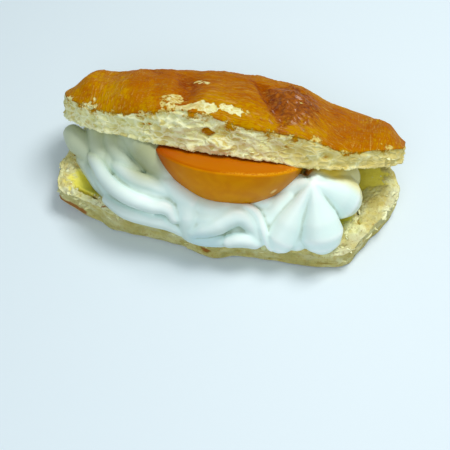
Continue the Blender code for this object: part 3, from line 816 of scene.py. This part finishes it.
def peachPaint():
    paint = Paint("peach")
    place, rim, tints = paint.place(), paint.attribute("rim"), peachShape["tints"]
    clouds = paint.noise(place, 140.0, 3.0, 0.5).step(0.35, 0.65)
    right = paint.axis(place, "X").step(2 * mm, 14 * mm)
    # painted highlight, speckled along the right of the rim
    rimHighlight = rim * paint.noise(place, 1400.0).step(0.40, 0.60)
    around = paint.node("ShaderNodeMapping", {"vector_type": "TEXTURE"},
                        {"Vector": place, **peachShape["highlightDash"]})
    highlightDash = paint.vectors("LENGTH", {0: around}, "Value")
    # the cut face, the left side and the left of the rim darker with painted shade, painted highlights on the
    # rim's right and in a dash
    colour = paint.over(
        tints["flesh"], (clouds, tints["lighter"]), (paint.attribute("face"), tints["face"]),
        (0.9 * paint.attribute("side"), tints["side"]), (0.6 * rim * (1 - right), tints["rim"]),
        (0.7 * rimHighlight * right, tints["rimHighlight"]), (0.8 * highlightDash.step(1.0, 0.3), tints["highlightDash"]))
    return paint.surface(Base_Color=colour, Roughness=0.30, Specular_IOR_Level=0.07,
                         Specular_Tint=(1.0, 0.70, 0.25, 1.0), Subsurface_Weight=0.40,
                         Subsurface_Radius=(1.0, 0.55, 0.05), Subsurface_Scale=4 * mm,
                         Normal=paint.relief(paint.noise(place, 500.0), 0.12, 0.3 * mm))


# loose leaves and crumbs of pastry, scattered over torn surfaces

flakes = {
    "lid": {"density": 0.10e6, "seed": 3, "low": Vector((0.5, 0.3, 0.7)) * mm,
            "high": Vector((2.2, 1.0, 0.9)) * mm, "tilt": 0.30, "sink": 0.40 * mm},
    "lip": {"density": 1.0e6, "seed": 8, "low": Vector((0.25, 0.06, 0.5)) * mm,
            "high": Vector((0.95, 0.17, 0.7)) * mm, "tilt": 1.1, "sink": 0.12 * mm},
    "rim": {"density": 0.13e6, "seed": 5, "low": Vector((0.8, 0.4, 0.6)) * mm,
            "high": Vector((2.8, 1.3, 0.8)) * mm, "tilt": 0.20, "sink": 0.34 * mm},
    "crumbs": {"density": 0.020e6, "seed": 11, "low": Vector((0.25, 0.2, 1.6)) * mm,
               "high": Vector((0.55, 0.4, 3.0)) * mm, "tilt": 3.0, "sink": 0.0},
}


def leafShape():
    # one thin bent leaf with a ragged outline, 2 long
    bm = bmesh.new()
    bmesh.ops.create_uvsphere(bm, u_segments=9, v_segments=4, radius=1.0)
    for vert in bm.verts:
        x, y, z = vert.co
        ragged = 1 + 0.55 * wander(x, y, 2.0, 0.5)
        bend = 0.20 * x * x - 0.10 * y + 0.14 * wander(x, y, 5.0, 0.7)
        vert.co = (x * ragged, y * ragged, 0.09 * z + bend * 0.5)
    leaf = objectFrom(bm, "leafShape")
    leaf.hide_render = True
    return leaf


def scatterTree():
    # puts turned copies of one leaf on a surface, as densely as its attribute says
    graph = Shaping("scatteredLeaves", {
        "Leaf": "Object", "Where": "String", "Density": "Float", "Seed": "Int", "Lie": "Vector",
        "Tilt": "Vector", "Smallest": "Vector", "Largest": "Vector", "Sink": "Float"})
    given, random = graph.given, {"data_type": "FLOAT_VECTOR"}
    where = graph.node("GeometryNodeInputNamedAttribute", {"data_type": "FLOAT"}, {"Name": given["Where"]})
    points = graph.node("GeometryNodeDistributePointsOnFaces", None, {
        "Mesh": given["Geometry"], "Density": where * given["Density"], "Seed": given["Seed"]})
    inward = graph.vectors("SCALE", {0: points.beside("Normal"), "Scale": given["Sink"] * -1.0})
    sunk = graph.node("GeometryNodeSetPosition", None, {"Geometry": points, "Offset": inward})
    flip = graph.vectors("SCALE", {0: given["Tilt"], "Scale": -1.0})
    tilt = graph.node("FunctionNodeRandomValue", random, {0: flip, 1: given["Tilt"], 8: given["Seed"]})
    size = graph.node("FunctionNodeRandomValue", random,
                      {0: given["Smallest"], 1: given["Largest"], 8: given["Seed"]})
    lie = graph.node("FunctionNodeEulerToRotation", None, {0: given["Lie"]})
    turn = graph.node("FunctionNodeEulerToRotation", None, {0: tilt})
    both = graph.node("FunctionNodeRotateRotation", {"rotation_space": "LOCAL"}, {0: lie, 1: turn})
    leaf = graph.node("GeometryNodeObjectInfo", None, {"Object": given["Leaf"]}, "Geometry")
    return graph.finish(graph.node("GeometryNodeInstanceOnPoints", None,
                                   {"Points": sunk, "Instance": leaf, "Rotation": both, "Scale": size}))


def scattered(name, ground, where, lie, leaf, tree, material):
    look = flakes[where]
    thing = newObject(name, ground.data.copy())
    shapeWith(thing, tree, {
        "Leaf": leaf, "Where": where, "Density": look["density"], "Seed": look["seed"], "Lie": lie,
        "Tilt": Vector((look["tilt"], look["tilt"], 3.1)), "Smallest": look["low"], "Largest": look["high"],
        "Sink": look["sink"], "Material": material})
    bakeDown(thing)
    return thing


def flakePaint():
    paint = Paint("loose_leaves")
    place = paint.place()
    white = paint.noise(place, 260.0, 3.0).step(0.35, 0.65)
    straw = 0.5 * paint.noise(place, 500.0, 1.0).step(0.52, 0.75)
    colour = paint.over(crumbTints["pale"], (white, crumbTints["white"]), (straw, crumbTints["straw"]))
    return paint.surface(Base_Color=colour, Roughness=0.8, Specular_IOR_Level=0.2)


# the cream: ropes from a star nozzle, ridges and petals, run together

creamShape = {
    "lobes": 7,
    "groove": 0.12,              # depth between lobes, as a share of the radius
    "sides": 6,                  # points round a rope, for each lobe
    "roundSides": 28,            # the least points round one
    "spacing": 1.0 * mm,         # of rings along a rope
    "tipRadius": 1.2,            # of a petal where it leaves the peak, in mm
    "voxel": 0.52 * mm,
    # the mass under the ropes: its middle and half sizes
    "heart": (Vector((1.8, 4.0, 13.0)) * mm, Vector((52.0, 19.0, 8.5)) * mm),
    # piped ropes: turn of the lobes at the start, twist to the end, and points with radius, in mm
    "ropes": {
        "leftCore": (0.3, 0.5, [(-50, -8, 18.0, 6.5), (-46.5, -16, 18, 8.0), (-41.5, -22.5, 17, 8.6),
                                (-34.0, -27, 16.0, 8.8), (-22.2, -29, 15.0, 8.8), (-12, -28, 15, 8.0)]),
        "upperCore": (0.0, 0.5, [(-55, -7, 19, 6.2), (-48, -7, 21, 7.6), (-38, -11, 23, 8.6),
                                 (-26, -16, 24, 8.2), (-16, -20, 23, 7)]),
        "middleCore": (0.2, 1.2, [(-10, -28.5, 15, 7.4), (-1, -30.0, 14.5, 8.0), (8, -29, 14.6, 8.0),
                                  (15, -27.5, 14.2, 7.8), (22, -26, 13, 7.4)]),
        "middleBack": (0.0, 0.0, [(-6, -25.5, 17, 6.5), (10, -24.5, 17.5, 7.4), (22, -21.5, 17.5, 7.5),
                                  (30, -19, 18, 6)]),
        "rosetteCore": (0.0, 0.0, [(38.1, -16.5, 27, 2.4), (38.6, -16, 20, 7.8), (39, -15, 14.5, 12.0)]),
    },
    # soft ridges and lobes on them: points of the crest as the open side shows it, and radius, in mm
    "ridges": {
        "corner": [(-64.7, -9.6, 22.6, 4.4), (-60.8, -13.2, 23.2, 5.4), (-56.5, -15.8, 22.2, 4.8),
                   (-52.7, -18.4, 20.5, 3.2)],
        "under": [(-58.1, -17.0, 17.0, 3.0), (-52.8, -21.6, 17.5, 3.6), (-46.2, -27.5, 17.0, 3.6),
                  (-41.3, -31.0, 15.5, 2.6)],
        "shaded": [(-53, -9, 27.4, 4.4), (-50, -14.6, 25.8, 5.0), (-46.8, -20.0, 24.6, 4.2),
                   (-44, -24.5, 23.6, 1.6)],
        "folded": [(-47, -7, 30.0, 4.4), (-43.7, -13.4, 28.8, 4.8), (-40, -18.6, 27.6, 4.4),
                   (-35.6, -22.4, 27.0, 4.0), (-29.0, -25.0, 27.4, 3.4)],
        "bottom": [(-40.7, -34.4, 17.2, 2.2), (-30.6, -38.9, 18.0, 3.0), (-19.2, -39.4, 18.0, 3.2),
                   (-11.6, -39.2, 17, 3.0), (-7.2, -39.5, 14.6, 2.4)],
        "between": [(-36.6, -29.7, 24.5, 3.6), (-28.1, -32.3, 25.5, 4.6), (-18.7, -33.3, 25.5, 4.8),
                    (-11.8, -33.6, 24, 3.8)],
        "bridge": [(-5.2, -35.4, 22.4, 4.6), (3.0, -36.3, 23.4, 5.4), (7.9, -33.7, 24.8, 5.2),
                   (12.1, -31.7, 25, 4.4)],
        "bright": [(-52.0, -19.4, 22.6, 2.4), (-47.4, -25.0, 25.6, 2.8), (-40.2, -32.4, 26.6, 3.0),
                   (-31.0, -36.7, 25.9, 3.2), (-20.0, -38.0, 25.2, 3.2), (-13.2, -37.4, 24.4, 3.0),
                   (-10.2, -38.8, 21.4, 2.4)],
        "inner": [(-42.6, -20.4, 23.6, 2.4), (-37.0, -25.8, 26.8, 2.8), (-28.9, -30.0, 28.6, 3.4),
                  (-19.6, -31.2, 28.4, 3.6), (-12.4, -32.0, 26.6, 3.2), (-9.0, -33.4, 24.2, 2.0)],
        "fruitSide": [(-40, -10.0, 33.5, 4.0), (-34.5, -14.0, 34.4, 5.4), (-27.6, -19.0, 34.6, 6.4),
                      (-21.0, -23.8, 33.4, 6.0), (-17.0, -26.6, 31.0, 4.4)],
        "sheet": [(-17.0, -29.0, 29.6, 4.0), (-10.0, -32.0, 27.8, 4.4), (-4.0, -34.0, 26.0, 4.6)],
        "valley": [(38.0, -18.8, 29.6, 3.0), (37.2, -23.6, 25.4, 5.2), (37.0, -28.2, 19.6, 6.0),
                   (37.0, -31.0, 14.8, 5.2)],
        "hollow": [(32.0, -20.0, 27.2, 4.0), (27.6, -24.6, 23.4, 5.4), (24.6, -29.0, 19.4, 5.6),
                   (23.6, -32.0, 15.0, 4.6)],
        # low cream behind the rosette
        "behind": [(30.0, -4.0, 20.5, 3.0), (34.2, -2.4, 20.6, 3.6), (38.0, -3.0, 20.0, 3.4)],
        "flat": [(-9.5, -30.2, 26.8, 5.0), (-6.6, -33.6, 25.8, 6.4), (-4.4, -36.8, 23.0, 6.6),
                 (-3.4, -39.0, 17.8, 5.2)],
        "drape": [(-8.0, -37.6, 13.3, 2.6), (-4.0, -39.4, 13.2, 3.0), (1.0, -39.8, 13.3, 3.1),
                  (5.0, -39.4, 13.5, 3.0), (9.0, -38.8, 13.8, 2.8)],
        "notch": [(36.5, -29.6, 13.4, 3.0), (39.0, -30.4, 10.6, 3.2)],
        "swell": [(-2.5, -40.6, 17.6, 2.4), (1.5, -39.8, 20.2, 3.8), (6.4, -37.6, 22.9, 4.8),
                  (10.8, -34.6, 24.7, 4.6), (14.6, -33.2, 24.4, 4.0), (17.8, -33.4, 22.0, 3.4),
                  (20.4, -34.4, 18.0, 2.8), (22.8, -35.8, 13.6, 2.2)],
        "crease": [(14.0, -29.6, 25.6, 1.4), (16.8, -29.3, 25.4, 1.8), (20.0, -30.2, 23.6, 2.0),
                   (22.8, -32.9, 20.0, 1.9), (25.2, -35.0, 15.8, 1.7), (28.0, -36.4, 12.2, 1.4)],
        "foot": [(11.4, -39.4, 14.9, 2.8), (15.0, -38.4, 16.3, 3.4), (18.4, -37.6, 16.2, 3.4),
                 (21.4, -36.8, 14.2, 2.8)],
        "edge": [(-6, -32.6, 25.6, 4.6), (3.0, -34.2, 25.0, 5.2), (9.5, -32.4, 25.4, 4.6)],
    },
    "toView": Vector((0.157, -0.559, 0.814)),      # a crest lies this way from the middle of its ridge
    "peak": Vector((38.1, -17.0, 32.5)) * mm,
    # middle of each petal's round end, and its radius, in mm
    "petals": [(31.0, -14.0, 22.0, 8.0), (30.2, -30.0, 12.8, 7.2), (45.0, -25.7, 15.0, 8.9),
               (49.0, -9.2, 18.6, 9.2), (48.5, 2.0, 17.0, 7.2), (40.5, 0.0, 20.0, 7.8)],
    # how far along a petal, and its radius there as a share of its end's
    "petalShares": [(0.35, 0.47), (0.7, 0.84), (1.0, 1.0)],
    # the same past both ends of a rope, as shares of the radius there
    "roundEnd": [(0.55, 0.80), (0.90, 0.40), (1.0, 0.10)],
    "shade": Vector((-25.0, -22.0, 32.0)) * mm,     # darkest beside the fruit
    "orangeSpot": Vector((34.4, -7.6, 27.0)) * mm,       # orange here, beside the fruit
    "bluishShade": Vector((2.0, -41.0, 13.0)) * mm,        # painted bluish shade, centred here
    "smoothings": 3,
    "creaseReach": 14,           # blurs that find the smoothed surface
    # crest: painted highlight; left, low, underLidShade, shade, crease and bluishShade: painted shade; crust
    # and rightCrustReflection: the crust's colour painted on the cream in shade as its reflection
    "tints": {"plain": (227, 249, 249), "warmer": (228, 250, 245), "crest": (246, 255, 254),
              "left": (186, 208, 204), "low": (176, 196, 184), "underLidShade": (184, 190, 150),
              "shade": (164, 168, 122), "crust": (255, 230, 104), "rightCrustReflection": (236, 232, 176),
              "orangeSpot": (236, 156, 26), "bluishShade": (184, 218, 226), "crease": (152, 172, 144)},
}


def pipedTree():
    # sweeps a star profile along the incoming curve, at the curve's radius
    graph = Shaping("pipedCream", {"Lobes": "Int", "Groove": "Float", "Points": "Int", "Spacing": "Float"})
    given = graph.given
    even = graph.node("GeometryNodeResampleCurve", {"mode": "LENGTH"},
                      {"Curve": given["Geometry"], "Length": given["Spacing"]})
    ring = graph.node("GeometryNodeCurvePrimitiveCircle", None,
                      {"Resolution": given["Points"], "Radius": 1.0})
    turns = graph.node("GeometryNodeInputIndex") / given["Points"] * math.pi * given["Lobes"]
    lobe = graph.maths("ABSOLUTE", graph.maths("SINE", turns))
    spot = graph.node("GeometryNodeInputPosition")
    moved = graph.vectors("SCALE", {0: spot, "Scale": (lobe - 1.0) * given["Groove"] + 1.0})
    star = graph.node("GeometryNodeSetPosition", None, {"Geometry": ring, "Position": moved})
    radius = graph.node("GeometryNodeInputRadius")
    return graph.finish(graph.node("GeometryNodeCurveToMesh", None, {
        "Curve": even, "Profile Curve": star, "Scale": radius, "Fill Caps": True}))


def creaseTree():
    # stores how far each point lies below the surface smoothed around it, and how much it faces up
    # the cream's material paints highlights on crests, and shade in creases and on undersides, from these
    graph = Shaping("creases", {"Reach": "Int"})
    spot = graph.node("GeometryNodeInputPosition")
    around = graph.node("GeometryNodeBlurAttribute", {"data_type": "FLOAT_VECTOR"},
                        {0: spot, "Iterations": graph.given["Reach"]})
    normal = graph.node("GeometryNodeInputNormal")
    away = graph.vectors("SUBTRACT", {0: around, 1: spot})
    depth = graph.vectors("DOT_PRODUCT", {0: away, 1: normal}, "Value")
    kept = graph.given["Geometry"]
    for name, value in {"crease": depth, "upward": graph.axis(normal, "Z")}.items():
        soft = graph.node("GeometryNodeBlurAttribute", {"data_type": "FLOAT"}, {0: value, "Iterations": 2})
        kept = graph.node("GeometryNodeStoreNamedAttribute", {"data_type": "FLOAT", "domain": "POINT"},
                          {"Geometry": kept, "Name": name, "Value": soft})
    return graph.finish(kept)


def pipedRope(name, points, turn, twist, lobes, tree, material):
    # points are in mm with the radius; both ends are rounded
    path = [(Vector(point[:3]) * mm, point[3] * mm) for point in points]
    (first, size), (last, tailSize) = path[0], path[-1]
    tip, tail = (first - path[1][0]).normalized(), (last - path[-2][0]).normalized()
    rounds = creamShape["roundEnd"]
    path = ([(first + tip * size * out, size * share) for out, share in reversed(rounds)] + path
            + [(last + tail * tailSize * out, tailSize * share) for out, share in rounds])
    data = bpy.data.curves.new(name, "CURVE")
    data.dimensions = "3D"
    data.twist_mode = "Z_UP"
    spline = data.splines.new("BEZIER")
    spline.bezier_points.add(len(path) - 1)
    for i, (point, (spot, radius)) in enumerate(zip(spline.bezier_points, path)):
        point.co = spot
        point.radius = radius
        point.tilt = turn + twist * i / (len(path) - 1)
        point.handle_left_type = point.handle_right_type = "AUTO"
    rope = newObject(name, data)
    shapeWith(rope, tree, {"Lobes": lobes, "Groove": creamShape["groove"] if lobes > 1 else 0.0,
                           "Points": max(creamShape["sides"] * lobes, creamShape["roundSides"]),
                           "Spacing": creamShape["spacing"], "Material": material})
    mesh = evaluated(rope)
    bpy.data.objects.remove(rope, do_unlink=True)
    return mesh


def creamRopes(material):
    # the meshes of the piped ropes, the ridges on them and the petals
    tree = pipedTree()
    meshes = [pipedRope(name, points, turn, twist, creamShape["lobes"], tree, material)
              for name, (turn, twist, points) in creamShape["ropes"].items()]
    for name, crest in creamShape["ridges"].items():
        middles = [(*(Vector(place) - creamShape["toView"] * 0.85 * radius), radius)
                   for *place, radius in crest]
        meshes.append(pipedRope(name, middles, 0, 0, 1, tree, material))
    peak = creamShape["peak"] / mm
    for i, (*end, radius) in enumerate(creamShape["petals"]):
        path = [(*peak, creamShape["tipRadius"])]
        path += [(*peak.lerp(Vector(end), along), share * radius)
                 for along, share in creamShape["petalShares"]]
        meshes.append(pipedRope("petal" + str(i), path, 0, 0, 1, tree, material))
    return meshes


def buildCream(material):
    bm = bmesh.new()
    bmesh.ops.create_uvsphere(bm, u_segments=48, v_segments=24, radius=1.0)
    middle, half = creamShape["heart"]
    bmesh.ops.scale(bm, vec=half, verts=bm.verts)
    bmesh.ops.translate(bm, vec=middle, verts=bm.verts)
    for mesh in creamRopes(material):
        bm.from_mesh(mesh)
    bmesh.ops.remove_doubles(bm, verts=bm.verts, dist=1e-6)
    cream = objectFrom(bm, "whipped_cream_piped")
    fuse = cream.modifiers.new("fuse", "REMESH")
    fuse.mode = "VOXEL"
    fuse.voxel_size = creamShape["voxel"]
    soften = cream.modifiers.new("soften", "SMOOTH")
    soften.factor = 0.5
    soften.iterations = creamShape["smoothings"]
    shapeWith(cream, creaseTree(), {"Reach": creamShape["creaseReach"], "Material": material})
    bakeDown(cream)
    return cream


def creamPaint():
    paint = Paint("cream")
    place, tints = paint.place(), creamShape["tints"]
    aside, inward = paint.axis(place, "X"), paint.axis(place, "Y")
    crease = paint.attribute("crease")
    # painted shade on surfaces that face down, but not on the petals
    low = paint.attribute("upward").step(0.62, 0.0) * (1 - aside.step(18 * mm, 27 * mm))
    # painted shade under the lid at the left
    underLidShade = aside.step(-8 * mm, -27 * mm) * inward.step(-29 * mm, -15 * mm)
    shade = paint.distance(place, creamShape["shade"]).step(14 * mm, 5 * mm)
    # beside the crust the crust's colour is painted on the cream as its reflection in the shade, paler at the
    # right
    crust = paint.mix(aside.step(45 * mm, 51 * mm), tints["crust"], tints["rightCrustReflection"])
    beside = inward.step(-12.5 * mm, -7 * mm) * aside.step(-54 * mm, -46 * mm)
    orangeSpot = paint.distance(place, creamShape["orangeSpot"]).step(4.6 * mm, 2.8 * mm)
    bluishShade = paint.distance(place, creamShape["bluishShade"]).step(9 * mm, 4 * mm)
    # painted highlight on the crests, painted shade at the left end, below, under the lid, beside the fruit
    # and in the creases
    colour = paint.over(
        tints["plain"], (paint.noise(place, 90.0), tints["warmer"]),
        (0.8 * crease.step(-0.03 * mm, -0.26 * mm), tints["crest"]),
        (0.6 * aside.step(-24 * mm, -42 * mm), tints["left"]), (0.5 * low, tints["low"]),
        (0.75 * underLidShade, tints["underLidShade"]), (0.85 * shade, tints["shade"]), (beside, crust),
        (0.85 * orangeSpot, tints["orangeSpot"]), (0.6 * bluishShade, tints["bluishShade"]),
        (0.85 * crease.step(0.06 * mm, 0.46 * mm), tints["crease"]))
    return paint.surface(Base_Color=colour, Roughness=0.38, Specular_IOR_Level=0.4, Subsurface_Weight=0.06,
                         Subsurface_Radius=(1.0, 0.9, 0.75), Subsurface_Scale=1.2 * mm,
                         Normal=paint.relief(paint.noise(place, 300.0, 3.0), 0.08, 0.4 * mm))


# camera, floor and light

view = {"aim": Vector((5.05 * mm, -22.0 * mm, 0)), "azimuth": math.radians(15.7),
        "pitch": math.radians(54.5), "distance": 333 * mm, "lens": 64}


def buildCamera():
    a, e = view["azimuth"], view["pitch"]
    back = Vector((math.sin(a) * math.cos(e), -math.cos(a) * math.cos(e), math.sin(e)))
    data = bpy.data.cameras.new("camera")
    data.lens = view["lens"]
    data.sensor_width = 36
    data.clip_start = 0.01
    camera = newObject("camera", data)
    camera.location = view["aim"] + back * view["distance"]
    camera.rotation_euler = (-back).to_track_quat("-Z", "Y").to_euler()
    bpy.context.scene.camera = camera


lights = {
    "key": {"power": 3.75, "size": 0.30, "spot": Vector((0.21, 0.21, 0.67)), "tint": (1.0, 0.99, 0.94)},
    "fill": {"power": 1.45, "size": 0.40, "spot": Vector((0.02, -0.50, 0.50)), "tint": (0.97, 0.98, 1.0)},
}


def buildLights():
    for name, look in lights.items():
        data = bpy.data.lights.new(name, "AREA")
        data.energy = look["power"]
        data.size = look["size"]
        data.color = look["tint"]
        lamp = newObject(name, data)
        lamp.location = look["spot"]
        lamp.rotation_euler = (-look["spot"]).to_track_quat("-Z", "Y").to_euler()
    world = bpy.data.worlds.new("studio")
    world.use_nodes = True
    world.node_tree.nodes["Background"].inputs["Color"].default_value = (0.83, 0.95, 0.92, 1.0)
    world.node_tree.nodes["Background"].inputs["Strength"].default_value = 0.33
    bpy.context.scene.world = world
    bpy.context.scene.view_settings.view_transform = "Standard"


def buildFloor():
    bm = bmesh.new()
    bmesh.ops.create_grid(bm, x_segments=1, y_segments=1, size=1.5)
    floor = objectFrom(bm, "floor")
    paint = Paint("pale_floor")
    floor.data.materials.append(paint.surface(Base_Color=tint(218, 231, 242), Roughness=0.6))


lid = buildLid()
standFor(lid, "top_pastry", lidPaint())
base = buildBase()
standFor(base, "base_pastry", basePaint())
standFor(buildPeach(), "peach_half", peachPaint())
creamMaterial = creamPaint()
standFor(buildCream(creamMaterial), "whipped_cream", creamMaterial)
leaf, leafTree, leafMaterial = leafShape(), scatterTree(), flakePaint()
sloping, level = Vector(lidShape["slope"]), Vector((0, 0, 0))
for name, ground, where, lie in (("lid_flakes", lid, "lid", sloping), ("lid_frayed_lip", lid, "lip", sloping),
                                 ("rim_flakes", base, "rim", level), ("rim_crumbs", base, "crumbs", level)):
    spread = scattered(name, ground, where, lie, leaf, leafTree, leafMaterial)
    standFor(spread, None, leafMaterial)
bpy.data.objects.remove(leaf, do_unlink=True)
buildCamera()
buildLights()
buildFloor()
